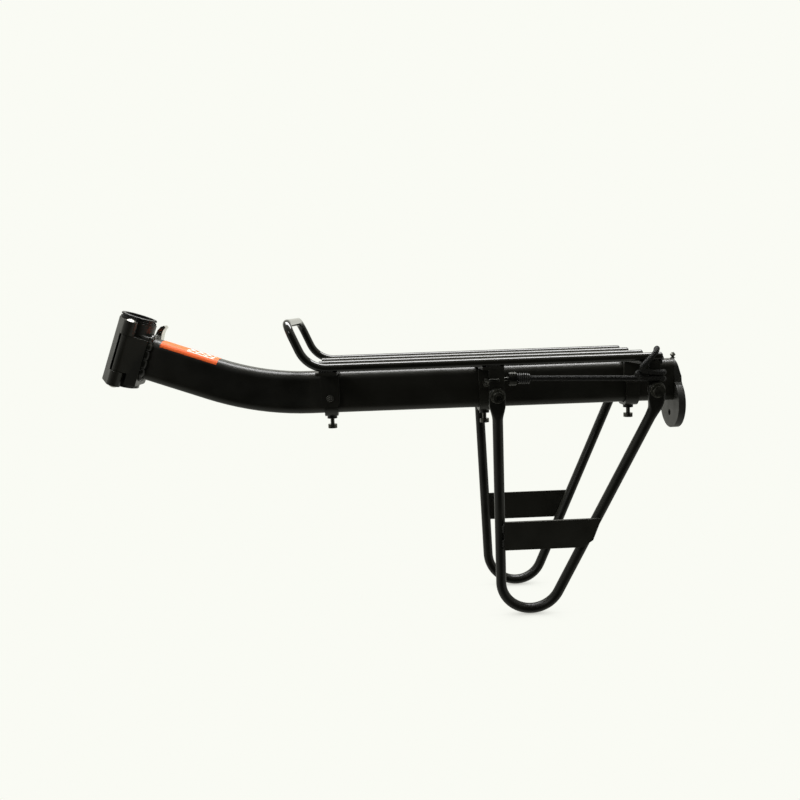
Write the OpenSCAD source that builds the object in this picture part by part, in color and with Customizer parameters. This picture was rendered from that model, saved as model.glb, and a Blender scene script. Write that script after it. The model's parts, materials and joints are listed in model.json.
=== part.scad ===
// Seatpost-mounted rear rack for a bicycle: a bent beam with a hinged seatpost clamp,
// a rod platform with an upturned front hoop that is clamped on the beam, two side
// frames, a stretched elastic cord and a reflector bracket.
// Origin: centre of the seatpost bore. +X to the rear along the beam, +Z up.

/* [Beam] */
// Height of the rounded rectangular beam
beam_h = 42; // [38:1:46]
// Width of the beam
beam_w = 26; // [24:1:28]
// Corner radius of the beam
beam_corner = 8; // [6:0.5:10]
// Wall thickness of the beam
beam_wall = 2.2; // [1.5:0.1:3]
// Downward slope of the front part of the beam, and lean of the clamp, degrees
beam_slope = 20; // [16:1:24]
// Length of the sloped part, from the bore axis to the bend
slope_len = 88; // [86:1:100]
// Bend radius on the centre line
bend_r = 280; // [240:10:300]
// Where the beam ends behind the bore axis
beam_end = 545; // [540:1:570]

/* [Clamp] */
// Height of the clamp along the seatpost
clamp_h = 65; // [60:1:70]
// Outer radius of the clamp wall
clamp_r = 18; // [17.8:0.1:19]
// Radius of the seatpost that the shim grips
post_r = 13.6; // [13.2:0.1:13.8]
// Half of the gap between the clamp halves
split_gap = 0.75; // [0.5:0.05:1]
// Sideways distance of the hinge pin from the bore axis
hinge_y = 23.5; // [23:0.1:24.5]
// Sideways distance of the release bolt from the bore axis
bolt_y = 25; // [24.5:0.1:27]
// Height of the release bolt along the clamp
bolt_a = -4; // [-8:1:0]

/* [Platform] */
// Diameter of the platform rods
rod_d = 8; // [7.6:0.1:8.4]
// Sideways distance of the outer rods from the middle
outer_y = 65; // [63:0.5:66]
// Sideways distance of the inner rods from the middle
inner_y = 22; // [21:0.5:24]
// Rear end of the outer rods
rod_end = 511; // [510:1:514]
// Height of the front hoop above the rods
hoop_h = 42; // [36:1:50]
// Lean of the hoop from upright, degrees
hoop_lean = 23.5; // [15:0.5:30]
// Bend radius at the foot of the hoop
hoop_bend = 28; // [22:1:30]
// Bend radius at the top corners of the hoop
hoop_corner = 14; // [10:1:18]

/* [Brackets] */
// Sheet thickness of the saddle brackets and straps
sheet_t = 3; // [2.5:0.1:3.2]
// Sliding gap between the beam and what straddles it
slide_gap = 0.4; // [0.3:0.05:0.5]
// Diameter of the clamp screws under the beam
screw_d = 4; // [3.5:0.5:5]

/* [Side frames] */
// Diameter of the side frame rod
side_d = 10; // [9:0.5:10.5]
// Inward lean of the side frames, degrees
side_lean = 7; // [5:0.5:9]
// Depth of the side frames below their bolts
side_depth = 219.5; // [200:0.5:240]
// Bend radius at the foot of the side frames
foot_r = 30; // [28:1:32]
// Lean of the rear leg, degrees
rear_leg_lean = 25.4; // [24.6:0.1:26]
// Height of the cross plate
plate_h = 29; // [26:0.5:32]

/* [Hidden] */
$fn = 64;
eps = 0.01;
joint_over = 0.1;
joint_under = 0.03;
far = 400;

// Beam
level_z = -(slope_len * sin(beam_slope) + bend_r * (1 - cos(beam_slope)));
bend_x = slope_len * cos(beam_slope);
level_x = bend_x + bend_r * sin(beam_slope);
beam_start = clamp_r + 1;

// Clamp
bore_r = post_r + 1.7;
shim_r = bore_r - 0.05;
gate_bore_r = bore_r + 0.3;
half_h = clamp_h / 2;
knuckle_r = 6.4;
mid_knuckle_r = 5.2;
slot_w = 2.1;
flank_low = 4 - half_h;
flank_u = 9.5;
knuckle_top = half_h - 14.2;
knuckle_low = 14.9 - half_h;
knuckle_gap = 0.4;
pin_r = 3;
lug_t = 8.25;
lug_h = 20;
cam_r = 7;
cam_offset = 0.8;
cam_seat_t = 1.5;
cam_gap = 0.3;
lever_pin_r = 2.5;
lever_pin_u = split_gap + lug_t + cam_seat_t + cam_gap + cam_r + cam_offset;
fork_gap = 6.4;
cheek_t = 3;
release_r = 3;
washer_gap = 0.4;
washer_t = 1.2;
nut_start = split_gap + lug_t + washer_gap + washer_t + 0.3;
nut_len = 9;

// Platform, heights measured from the beam's centre line
rod_z = beam_h / 2 + slide_gap + sheet_t + rod_d / 2;
cross_z = beam_h / 2 + slide_gap;
hoop_foot_x = 182;
front_x = 199;
middle_x = 354;
rear_x = 502;
cross_w = 20;
inner_start = 189.5;
inner_end = rod_end - 4;
tube_wall = 1.4;
plug_len = 8;

// Saddles and straps
strap_in = beam_w / 2 + slide_gap;
cheek_in = strap_in + sheet_t + 0.05;
rivet_r = 2;
strap_w = 13;
strap_low = -(beam_h / 2 + slide_gap + sheet_t);
boss_h = 3;

// Side frames
eye_front = 357;
eye_rear = 507;
eye_y = 66;
eye_z = -2.3;
eye_t = 5;
eye_r = 7.7;
ear_r = 7;
eye_bolt_r = 3;
front_leg_lean = 1.2;
foot_s = side_depth - foot_r;
foot_x = eye_front + foot_s * tan(front_leg_lean) + foot_r / cos(front_leg_lean);
toe_x = foot_x + foot_r * cos(rear_leg_lean);
toe_s = foot_s + foot_r * sin(rear_leg_lean);
knee_s = toe_s - (eye_rear - toe_x) / tan(rear_leg_lean);
knee_r = 25;
plate_s = 124;
plate_t = 2.5;
plate_edge = side_d / 2 - 1.5;

// Rear bracket
bracket_t = 7;
tab_r = 25.5;
tab_z = -24.3;
reflector_z = -34.4;
reflector_r = 3;

// Elastic cord, heights from the beam's centre line. On both sides it runs level from the
// hook and turns round the rear ear's neck. On the right it then goes over the outer rod, on
// the left it stays below. It crosses behind the ends of the rods.
cord_d = 5;
cord_sides = 10;
turn_x = 501.9;
turn_reach = 12.25;
turn_r = (sheet_t + cord_d) / 2 + 0.35;
turn_low = 7.5;
turn_rise = 6;
function smooth(t) = let (c = max(0, min(1, t))) c * c * (3 - 2 * c);
function turn_z(q) = turn_low + turn_rise * smooth((q - 120) / 220);
function ear_mid(z) = sheet_t / 2 - eye_y - (z - eye_z) * tan(side_lean);
cord_turns = [for (i = [0:2], k = [0:4])
    let (side = i % 2 == 0 ? 1 : -1, a = 90 - 45 * k, z = turn_z(180 * i + 45 * k))
    [turn_x + side * (turn_reach - turn_r + turn_r * cos(a)),
        ear_mid(z) + side * turn_r * sin(a), z]];
cord_in = [[378, -61.5, 12], [392, -61.5, 11.7], [410, -61.5, 11.1], [430, -61.5, 10.4],
    [450, -61.5, 9.7], [470, -61.5, 9], [486, -61.5, 8.3], [500, -61.4, 7.8]];
cord_out = [[503, -71.3, 14.2], [497, -71.4, 15], [493, -71.6, 16.4], [492, -71.8, 18.8],
    [494, -72, 21.8], [497.5, -72, 25.2], [501, -71.9, 28.8], [504.5, -71, 32.4],
    [507, -68.4, 35.2], [508.2, -65, 35.9], [509, -61, 34.6], [510.2, -58.6, 31.6],
    [513, -57.6, 28.6], [515.4, -56, 26.4], [516.5, -52, 25], [516.6, -44, 24.6],
    [516.6, -22, 24.6], [516.6, -8, 24.6]];
cord_under = [[500, -61.9, 13.7], [507, -61.7, 14.6], [512.5, -60.6, 17], [515.6, -58, 20.4],
    [516.6, -54, 23], [516.6, -48, 24.4], [516.6, -22, 24.6], [516.6, -8, 24.6]];
cord_right = concat(cord_in, cord_turns, cord_out);
cord_left = concat(cord_in, [for (i = [0:9]) cord_turns[i]], cord_under);
function mirrored(p) = [p[0], -p[1], p[2]];
cord_route = [for (p = cord_right) p,
    for (i = [len(cord_left) - 1:-1:0]) mirrored(cord_left[i])];

// ---------- shared shapes ----------

module clamp_frame() {
    rotate([0, beam_slope, 0]) children();
}

module at_level() {
    translate([0, 0, level_z]) children();
}

module both_sides() {
    children();
    mirror([0, 1, 0]) children();
}

// Places a shape drawn in a right side frame's own plane: y = 0 is the ear's outer face
module side_plane() {
    at_level() translate([0, -eye_y, eye_z]) rotate([side_lean, 0, 0]) children();
}

// Rounded rectangle of exact arcs, w across and h up
module rounded(w, h, r) {
    square([w - 2 * r, h], center = true);
    square([w, h - 2 * r], center = true);
    for (x = [-1, 1], y = [-1, 1])
        translate([x * (w / 2 - r), y * (h / 2 - r)]) circle(r);
}

module beam_section(grow = 0) {
    rounded(beam_w + 2 * grow, beam_h + 2 * grow, beam_corner + grow);
}

// Extrudes a section drawn as [Y, Z] along +X from x0 to x1
module along_x(x0, x1) {
    translate([x0, 0, 0]) rotate([90, 0, 90]) linear_extrude(x1 - x0) children();
}

// Extrudes a profile drawn as [X, Z] sideways from y0 to y1
module along_y(y0, y1) {
    translate([0, y1, 0]) rotate([90, 0, 0]) linear_extrude(y1 - y0) children();
}

// Cylinder lying along +Y from y0 to y1
module y_cylinder(y0, y1, r) {
    translate([0, y0, 0]) rotate([-90, 0, 0]) cylinder(h = y1 - y0, r = r);
}

// Round bar between two points
module bar(a, b, d) {
    v = b - a;
    len_v = norm(v);
    translate(a) rotate([0, acos(v[2] / len_v), atan2(v[1], v[0])])
        cylinder(h = len_v, d = d);
}

// Joint between a straight bar and a bend, a hair thicker than both so that they fuse
module knot(at, d) {
    translate(at) sphere(d = d + joint_over);
}

// Arc of round bar in the X-Z plane about a centre, from one angle through a sweep
module elbow(centre, radius, d, from, sweep) {
    translate([centre[0], 0, centre[1]]) rotate([90, 0, 0]) rotate([0, 0, from])
        rotate_extrude(angle = sweep) translate([radius, 0]) circle(d = d);
}

// A weld bead: a row of overlapping scales from one point to another
module weld_row(a, b, r, count) {
    for (i = [0:count - 1])
        translate(a + (b - a) * i / (count - 1)) sphere(r, $fn = 20);
}

// ---------- beam ----------

module beam_solid(grow) {
    clamp_frame() along_x(beam_start + (grow < 0 ? -eps : 0), slope_len) beam_section(grow);
    translate([bend_x, 0, level_z + bend_r]) translate([bend_r * sin(beam_slope), 0, 0])
        rotate([90, 0, 0]) rotate([0, 0, -90 - beam_slope])
        rotate_extrude(angle = beam_slope) translate([bend_r, 0])
        rotate(90) beam_section(grow);
    at_level() along_x(level_x, beam_end + (grow < 0 ? eps : 0)) beam_section(grow);
}

module main_beam() {
    color([0.03, 0.03, 0.03]) difference() {
        beam_solid(0);
        beam_solid(-beam_wall);
    }
}

// ---------- seatpost clamp ----------

module clamp_body_cuts(r) {
    translate([0, 0, -far / 2]) cylinder(h = far, r = r, $fn = 96);
}

module release_hole(r) {
    translate([-far / 2, bolt_y, bolt_a]) rotate([0, 90, 0]) cylinder(h = far, r = r);
}

module lug(u0, u1) {
    translate([u0, clamp_r - 5, bolt_a - lug_h / 2]) cube([u1 - u0, bolt_y - clamp_r + 5, lug_h]);
    translate([u0, bolt_y, bolt_a - lug_h / 2]) intersection() {
        cube([u1 - u0, 7, lug_h]);
        translate([0, -3, lug_h / 2]) rotate([0, 90, 0]) cylinder(h = u1 - u0, r = lug_h / 2);
    }
}

module hinge_bore(r) {
    translate([0, -hinge_y, -far / 2]) cylinder(h = far, r = r);
}

// Side wall from the middle knuckle back to the beam, seen along the seatpost
module flank() {
    centre = [0, -hinge_y];
    tip = [beam_start, -18.5];
    reach = tip - centre;
    tangent_at = atan2(reach[1], reach[0]) - acos(mid_knuckle_r / norm(reach));
    translate(centre) circle(mid_knuckle_r);
    polygon([centre, centre + mid_knuckle_r * [cos(tangent_at), sin(tangent_at)], tip,
        [beam_start, -10], [6, -10], [1, -17]]);
}

module clamp_rear_half() {
    color([0.03, 0.03, 0.03]) clamp_frame() difference() {
        union() {
            intersection() {
                translate([0, 0, -half_h]) cylinder(h = clamp_h, r = clamp_r, $fn = 96);
                translate([split_gap, -50, -50]) cube([50, 100, 100]);
            }
            translate([6, 0, 0]) along_x(0, beam_start - 6)
                translate([0, (flank_low + beam_h / 2 + 1) / 2])
                rounded(32, beam_h / 2 + 1 - flank_low, 3);
            lug(split_gap, split_gap + lug_t);
            translate([0, 0, knuckle_low]) linear_extrude(knuckle_top - knuckle_low) flank();
            translate([0, 0, flank_low]) linear_extrude(knuckle_low - flank_low) intersection() {
                flank();
                translate([flank_u, -50]) square([50, 50]);
            }
        }
        clamp_body_cuts(bore_r);
        hinge_bore(pin_r + 0.05);
        release_hole(release_r + 0.4);
        // room for the front half's knuckles above and below
        for (z = [knuckle_top, knuckle_low - 40])
            translate([0, -hinge_y, z]) cylinder(h = 40, r = knuckle_r + 0.3);
    }
}

// Wall that runs straight from the front of the tube to the end knuckles
module front_web() {
    dy = (clamp_r - knuckle_r) / hinge_y;
    out = [-sqrt(1 - dy * dy), -dy];
    polygon([out * clamp_r, [0, -hinge_y] + out * knuckle_r, [0, -hinge_y],
        [-split_gap, -clamp_r + 1]]);
}

module clamp_front_half() {
    color([0.03, 0.03, 0.03]) clamp_frame() difference() {
        union() {
            intersection() {
                translate([0, 0, -half_h]) cylinder(h = clamp_h, r = clamp_r, $fn = 96);
                translate([-50 - split_gap, -50, -50]) cube([50, 100, 100]);
            }
            lug(-split_gap - lug_t, -split_gap);
            translate([0, -hinge_y, -half_h]) cylinder(h = clamp_h, r = knuckle_r);
            translate([0, 0, -half_h]) linear_extrude(clamp_h) front_web();
        }
        clamp_body_cuts(gate_bore_r);
        hinge_bore(pin_r + 0.06);
        release_hole(release_r + 0.8);
        translate([0, -hinge_y, knuckle_low - knuckle_gap])
            cylinder(h = knuckle_top - knuckle_low + 2 * knuckle_gap, r = mid_knuckle_r + slot_w);
        translate([-split_gap, -hinge_y - 20, knuckle_low - knuckle_gap])
            cube([20, 40, knuckle_top - knuckle_low + 2 * knuckle_gap]);
    }
}

module clamp_welds() {
    color([0.05, 0.05, 0.05]) clamp_frame() difference() {
        union() {
            for (y = [-1, 1])
                weld_row([beam_start, y * (beam_w / 2 + 0.6), -15],
                    [beam_start, y * (beam_w / 2 + 0.6), 15], 3, 9);
            for (z = [-1, 1])
                weld_row([beam_start, -6, z * (beam_h / 2 + 0.6)],
                    [beam_start, 6, z * (beam_h / 2 + 0.6)], 3, 4);
        }
        translate([-far + beam_start, -50, -50]) cube([far, 100, 100]);
        along_x(0, 60) beam_section(0);
    }
}

module hinge_pin() {
    head_r = 4.8;
    color([0.75, 0.75, 0.75]) clamp_frame() translate([0, -hinge_y, 0]) {
        translate([0, 0, -half_h - 0.6]) cylinder(h = clamp_h + 1.2, r = pin_r);
        for (z = [-1, 1]) scale([1, 1, z]) translate([0, 0, half_h + 0.2]) intersection() {
            translate([0, 0, -head_r]) sphere(r = head_r * sqrt(2));
            cylinder(h = head_r, r = head_r * 2);
        }
    }
}

module seatpost_shim() {
    shim_low = -half_h - 1;
    flange_low = half_h + 0.4;
    flange_top = half_h + 4.9;
    color([0.02, 0.02, 0.02]) clamp_frame() difference() {
        rotate_extrude($fn = 128) polygon([[post_r, shim_low], [shim_r, shim_low],
            [shim_r, flange_low], [17.2, flange_low], [17.2, flange_low + 1.4],
            [16, flange_low + 1.8], [16, flange_low + 2.6], [17.2, flange_low + 3],
            [17.2, flange_top - 0.5], [16.7, flange_top], [post_r, flange_top]]);
        translate([0, -2.5, -far / 2]) cube([far, 5, far]);
    }
}

// ---------- quick release ----------

module release_bolt() {
    color([0.6, 0.6, 0.6]) clamp_frame() translate([0, bolt_y, bolt_a]) difference() {
        union() {
            translate([-nut_start - nut_len + 1.5, 0, 0]) rotate([0, 90, 0])
                cylinder(h = nut_start + nut_len - 1.5 + lever_pin_u - 3, r = release_r);
            translate([lever_pin_u, 0, 0]) y_cylinder(-2.9, 2.9, 5);
        }
        translate([lever_pin_u, 0, 0]) y_cylinder(-10, 10, lever_pin_r + 0.05);
    }
}

module bolt_washer() {
    color([0.7, 0.7, 0.7]) clamp_frame()
        translate([-split_gap - lug_t - washer_gap - washer_t, bolt_y, bolt_a])
        rotate([0, 90, 0]) difference() {
            cylinder(h = washer_t, r = 6.5);
            translate([0, 0, -1]) cylinder(h = washer_t + 2, r = release_r + 0.1);
        }
}

module adjusting_nut() {
    color([0.05, 0.05, 0.05]) clamp_frame() translate([-nut_start, bolt_y, bolt_a])
        rotate([0, -90, 0]) difference() {
            union() {
                cylinder(h = 2, r = 6.2);
                translate([0, 0, 2]) cylinder(h = nut_len - 3, r = 7.2);
                translate([0, 0, nut_len - 1]) cylinder(h = 1, r = 5.6);
            }
            translate([0, 0, -1]) cylinder(h = nut_len + 2, r = release_r + 0.05);
            for (i = [0:11]) rotate([0, 0, i * 30]) translate([7.6, 0, 2.6])
                cylinder(h = nut_len, r = 0.9, $fn = 16);
        }
}

module cam_seat() {
    color([0.05, 0.05, 0.05]) clamp_frame() translate([split_gap + lug_t, bolt_y, bolt_a])
        rotate([0, 90, 0]) difference() {
            cylinder(h = cam_seat_t, r = 6.8);
            translate([0, 0, -1]) cylinder(h = cam_seat_t + 2, r = release_r + 0.6);
        }
}

// Lever seen from the side: a cam, a curved arm that stands along the clamp, a hooked tip
module lever_profile() {
    translate([-cam_offset, 0]) circle(cam_r);
    polygon([[-6.5, 2], [5.5, 2], [4.5, 12], [3, 22], [2.2, 29], [2.6, 33], [4, 36],
        [2, 37.6], [-1, 35.5], [-3, 31], [-4.5, 22], [-6, 12]]);
}

module release_lever() {
    color([0.7, 0.7, 0.7]) clamp_frame() translate([lever_pin_u, bolt_y, bolt_a]) difference() {
        along_y(-fork_gap / 2 - cheek_t, fork_gap / 2 + cheek_t) lever_profile();
        along_y(-fork_gap / 2, fork_gap / 2) translate([-12, -12]) square([24, 21]);
        y_cylinder(-10, 10, lever_pin_r);
    }
}

module lever_pin() {
    color([0.8, 0.8, 0.8]) clamp_frame() translate([lever_pin_u, bolt_y, bolt_a])
        y_cylinder(-fork_gap / 2 - cheek_t - 0.4, fork_gap / 2 + cheek_t + 0.4, lever_pin_r);
}

// ---------- label ----------

module label_sticker() {
    film = 0.2;
    color([0.95, 0.3, 0.1]) clamp_frame() along_x(30, slope_len - 0.5) intersection() {
        difference() {
            beam_section(film);
            beam_section(0);
        }
        translate([-30, beam_h / 2 - 5.5]) square([60, 20]);
    }
}

// ---------- platform ----------

// Right side of the hoop tube, from its rear end to the top corner
module hoop_half(d, rear) {
    foot_t = hoop_bend * tan((90 - hoop_lean) / 2);
    leg = [-sin(hoop_lean), 0, cos(hoop_lean)];
    leg_len = hoop_h / cos(hoop_lean);
    foot = [hoop_foot_x, -outer_y, rod_z];
    bar([hoop_foot_x + foot_t, -outer_y, rod_z], [rear, -outer_y, rod_z], d);
    translate([0, -outer_y, 0])
        elbow([hoop_foot_x + foot_t, rod_z + hoop_bend], hoop_bend, d, -90, hoop_lean - 90);
    bar(foot + leg * foot_t, foot + leg * (leg_len - hoop_corner), d);
    knot(foot + leg * foot_t, d);
    knot(foot + leg * (leg_len - hoop_corner), d);
    // top corner, in the plane of the hoop
    translate([hoop_foot_x, 0, rod_z]) rotate([0, -hoop_lean, 0])
        translate([0, -outer_y + hoop_corner, leg_len - hoop_corner])
        rotate([90, 0, 90]) rotate([0, 0, 90])
        rotate_extrude(angle = 90) translate([hoop_corner, 0]) circle(d = d);
}

module outer_hoop_tube() {
    top_x = hoop_foot_x - hoop_h * tan(hoop_lean);
    top_y = outer_y - hoop_corner;
    color([0.03, 0.03, 0.03]) at_level() difference() {
        union() {
            both_sides() hoop_half(rod_d, rod_end);
            bar([top_x, -top_y, rod_z + hoop_h], [top_x, top_y, rod_z + hoop_h],
                rod_d - joint_under);
        }
        both_sides() bar([rod_end - 60, -outer_y, rod_z], [rod_end + 1, -outer_y, rod_z],
            rod_d - 2 * tube_wall);
    }
}

module inner_rods() {
    color([0.03, 0.03, 0.03]) at_level() both_sides() difference() {
        bar([inner_start, -inner_y, rod_z], [inner_end, -inner_y, rod_z], rod_d);
        bar([inner_end - 60, -inner_y, rod_z], [inner_end + 1, -inner_y, rod_z],
            rod_d - 2 * tube_wall);
    }
}

module end_plug(x, y) {
    translate([x, y, rod_z]) rotate([0, 90, 0]) {
        translate([0, 0, -plug_len]) cylinder(h = plug_len + eps, d = rod_d - 2 * tube_wall - 0.1);
        cylinder(h = 1, d = rod_d);
        translate([0, 0, 1]) cylinder(h = 1, d1 = rod_d, d2 = rod_d - 2);
    }
}

module rod_end_plugs() {
    color([0.02, 0.02, 0.02]) at_level() both_sides() {
        end_plug(rod_end, -outer_y);
        end_plug(inner_end, -inner_y);
    }
}

// ---------- saddle brackets ----------

// Cross strip under the rods with two cheeks beside the beam
function rivet_at(x) = x == front_x ? -5 : 4.5;
function cheek_low(x) = rivet_at(x) - (x == front_x ? 9 : 5);
module saddle(x, cheek_w) {
    low = cheek_low(x);
    translate([x - cross_w / 2, -outer_y - 4, cross_z]) cube([cross_w, 2 * outer_y + 8, sheet_t]);
    both_sides() translate([x, 0, 0]) difference() {
        along_y(-cheek_in - sheet_t, -cheek_in) {
            translate([-cheek_w / 2, low + 5]) square([cheek_w, cross_z - low - 5 + eps]);
            translate([-cheek_w / 2 + 5, low]) square([cheek_w - 10, 6]);
            for (s = [-1, 1]) translate([s * (cheek_w / 2 - 5), low + 5]) circle(5);
        }
        translate([0, 0, rivet_at(x)]) y_cylinder(-cheek_in - 10, 0, rivet_r + 0.05);
    }
}

// Ear that hangs from the end of the cross strip and carries a side frame's eye
module ear(x, neck) {
    top_s = (cross_z - eye_z + 1.5) / cos(side_lean);
    side_plane() difference() {
        along_y(0, sheet_t) {
            translate([x, 0]) circle(ear_r);
            translate([x - ear_r, 0]) square([ear_r + neck, top_s]);
        }
        translate([x, 0, 0]) y_cylinder(-10, 10, eye_bolt_r + 0.1);
    }
}

module front_saddle() {
    color([0.03, 0.03, 0.03]) at_level() saddle(front_x, 18);
}

module middle_saddle() {
    color([0.03, 0.03, 0.03]) {
        at_level() saddle(middle_x, 15);
        both_sides() ear(eye_front, ear_r);
    }
}

module rear_saddle() {
    color([0.03, 0.03, 0.03]) {
        at_level() saddle(rear_x, 20);
        both_sides() ear(eye_rear, ear_r / 2);
    }
}

module platform_welds() {
    color([0.05, 0.05, 0.05]) at_level() both_sides() difference() {
        for (x = [front_x, middle_x, rear_x], y = [outer_y, inner_y], s = [-1, 1]) {
            reach = y == outer_y ? 2.2 : 3;
            bar([x - 7, s * reach - y, cross_z + sheet_t + 0.3],
                [x + 7, s * reach - y, cross_z + sheet_t + 0.3], 3.2);
        }
        translate([0, -far / 2, cross_z + sheet_t - far]) cube([far * 2, far, far]);
        for (y = [outer_y, inner_y]) bar([100, -y, rod_z], [rod_end, -y, rod_z], rod_d);
    }
}

// U strap inside the cheeks and under the beam, with a threaded boss for the clamp screw
module clamp_strap(x) {
    color([0.03, 0.03, 0.03]) at_level() translate([x, 0, 0]) difference() {
        union() {
            along_x(-strap_w / 2, strap_w / 2) intersection() {
                difference() {
                    beam_section(slide_gap + sheet_t);
                    beam_section(slide_gap);
                }
                translate([-far / 2, strap_low - 1])
                    square([far, rivet_at(x) + 6 - strap_low]);
            }
            translate([0, 0, strap_low - boss_h]) cylinder(h = boss_h + eps, r = 5);
        }
        translate([0, 0, rivet_at(x)]) y_cylinder(-far, far, rivet_r + 0.05);
        translate([0, 0, -far]) cylinder(h = far, d = screw_d + 0.1);
    }
}

module strap_rivets() {
    color([0.5, 0.5, 0.5]) at_level() both_sides()
        for (x = [front_x, middle_x, rear_x]) translate([x, 0, rivet_at(x)]) difference() {
            union() {
                y_cylinder(-cheek_in - sheet_t, -strap_in, rivet_r);
                y_cylinder(-cheek_in - sheet_t - 1.4, -cheek_in - sheet_t, 3.4);
            }
            y_cylinder(-cheek_in - sheet_t - 2, -cheek_in - sheet_t - 0.5, 1.6);
        }
}

module clamp_screws() {
    tip_z = -(beam_h / 2) - slide_gap;
    head_z = strap_low - boss_h - 6;
    color([0.2, 0.2, 0.2]) at_level()
        for (x = [front_x, middle_x, rear_x]) translate([x, 0, 0]) {
            translate([0, 0, head_z]) cylinder(h = tip_z - head_z, d = screw_d);
            translate([0, 0, head_z - 4]) difference() {
                cylinder(h = 4 + eps, r = 4.6);
                translate([0, 0, -1]) cylinder(h = 3.4, r = 2.3, $fn = 6);
            }
        }
}

// ---------- side frames ----------

// Flattened end of the rod, drilled for the bolt
module eye(x) {
    along_y(-eye_t, 0) {
        translate([x, 0]) circle(eye_r);
        translate([x - eye_r, -9]) square([2 * eye_r, 9]);
        polygon([[x - eye_r, -9], [x + eye_r, -9], [x + side_d / 2, -15], [x - side_d / 2, -15]]);
    }
}

// Round rod with flattened eyes, drawn in its own plane for the right side
module side_frame() {
    mid_y = -eye_t / 2;
    knee_t = knee_r * tan(rear_leg_lean / 2);
    heel = [foot_x - foot_r * cos(front_leg_lean), 0, -foot_s - foot_r * sin(front_leg_lean)];
    knee = [eye_rear - knee_t * sin(rear_leg_lean), 0, -knee_s - knee_t * cos(rear_leg_lean)];
    side_plane() difference() {
        union() {
            eye(eye_front);
            eye(eye_rear);
            translate([0, mid_y, 0]) {
                bar([eye_front + 12 * tan(front_leg_lean), 0, -12],
                    heel, side_d);
                knot(heel, side_d);
                elbow([foot_x, -foot_s], foot_r, side_d, 180 + front_leg_lean,
                    180 - front_leg_lean - rear_leg_lean);
                bar([toe_x, 0, -toe_s], knee, side_d);
                knot([toe_x, 0, -toe_s], side_d);
                knot(knee, side_d);
                elbow([eye_rear - knee_r, -knee_s + knee_t], knee_r, side_d,
                    -rear_leg_lean, rear_leg_lean);
            }
        }
        for (x = [eye_front, eye_rear]) translate([x, 0, 0])
            y_cylinder(-20, 20, eye_bolt_r + 0.1);
    }
}

module side_frame_right() {
    color([0.03, 0.03, 0.03]) side_frame();
}

module side_frame_left() {
    color([0.03, 0.03, 0.03]) mirror([0, 1, 0]) side_frame();
}

// Cross plate: butts on the front leg and lies on the outside of the rear leg
plate_y = -eye_t / 2 - side_d / 2 - plate_t;
function rear_leg_x(s) = toe_x + (toe_s - s) * tan(rear_leg_lean);
function front_leg_x(s) = eye_front + s * tan(front_leg_lean);
module side_plate() {
    left = front_leg_x(plate_s) + plate_edge;
    right = rear_leg_x(plate_s) + 1.5;
    low = plate_s + plate_h;
    side_plane() along_y(plate_y, plate_y + plate_t)
        polygon([[left, -plate_s], [right, -plate_s], [rear_leg_x(low - 7) + 4.5, -low + 7],
            [rear_leg_x(low) - 2.5, -low], [left, -low]]);
}

module side_plate_right() {
    color([0.03, 0.03, 0.03]) side_plate();
}

module side_plate_left() {
    color([0.03, 0.03, 0.03]) mirror([0, 1, 0]) side_plate();
}

module side_plate_welds() {
    front_x0 = front_leg_x(plate_s) + plate_edge;
    color([0.05, 0.05, 0.05]) both_sides() side_plane() difference() {
        union() {
            for (s = [plate_s + 4, plate_s + plate_h - 10])
                weld_row([front_x0 - 0.6, plate_y + plate_t + 0.6, -s],
                    [front_x0 - 0.2, plate_y + plate_t + 0.6, -s - 6], 2.4, 4);
        }
        along_y(plate_y - 5, plate_y + plate_t) translate([front_x0, -far]) square([100, far]);
        translate([0, -eye_t / 2, 0]) bar([front_leg_x(0), 0, 0],
            [front_leg_x(foot_s), 0, -foot_s], side_d + 0.04);
    }
}

module eye_bolt(x, hex) {
    under = -eye_t - 1.2;
    translate([x, 0, 0]) difference() {
        union() {
            y_cylinder(under, sheet_t + 7, eye_bolt_r);
            if (hex) translate([0, under, 0]) rotate([90, 0, 0]) cylinder(h = 4.4, r = 5.8, $fn = 6);
            else y_cylinder(under - 6, under, 5);
        }
        if (!hex) translate([0, under - 7, 0]) rotate([-90, 0, 0])
            cylinder(h = 4.5, r = 2.9, $fn = 6);
    }
}

module front_eye_bolts() {
    color([0.1, 0.1, 0.1]) both_sides() side_plane() eye_bolt(eye_front, false);
}

module rear_eye_bolts() {
    color([0.1, 0.1, 0.1]) both_sides() side_plane() eye_bolt(eye_rear, true);
}

module eye_washers() {
    color([0.15, 0.15, 0.15]) both_sides() side_plane()
        for (x = [eye_front, eye_rear]) translate([x, 0, 0]) difference() {
            y_cylinder(-eye_t - 1.2, -eye_t, 6.8);
            y_cylinder(-far, far, eye_bolt_r + 0.1);
        }
}

module eye_nuts() {
    color([0.15, 0.15, 0.15]) both_sides() side_plane()
        for (x = [eye_front, eye_rear]) translate([x, sheet_t, 0]) difference() {
            rotate([-90, 0, 0]) cylinder(h = 5, r = 5.6, $fn = 6);
            y_cylinder(-far, far, eye_bolt_r + 0.05);
        }
}

// ---------- elastic cord ----------

function unit(v) = v / norm(v);
function tangent(path, i) = unit(path[min(i + 1, len(path) - 1)] - path[max(i - 1, 0)]);
// Ring frames carried along the path without twist
function frames(path, i, n) = i == len(path) ? [] :
    let (t = tangent(path, i), m = unit(n - t * (n * t)))
    concat([[path[i], m, cross(t, m)]], frames(path, i + 1, m));

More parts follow.
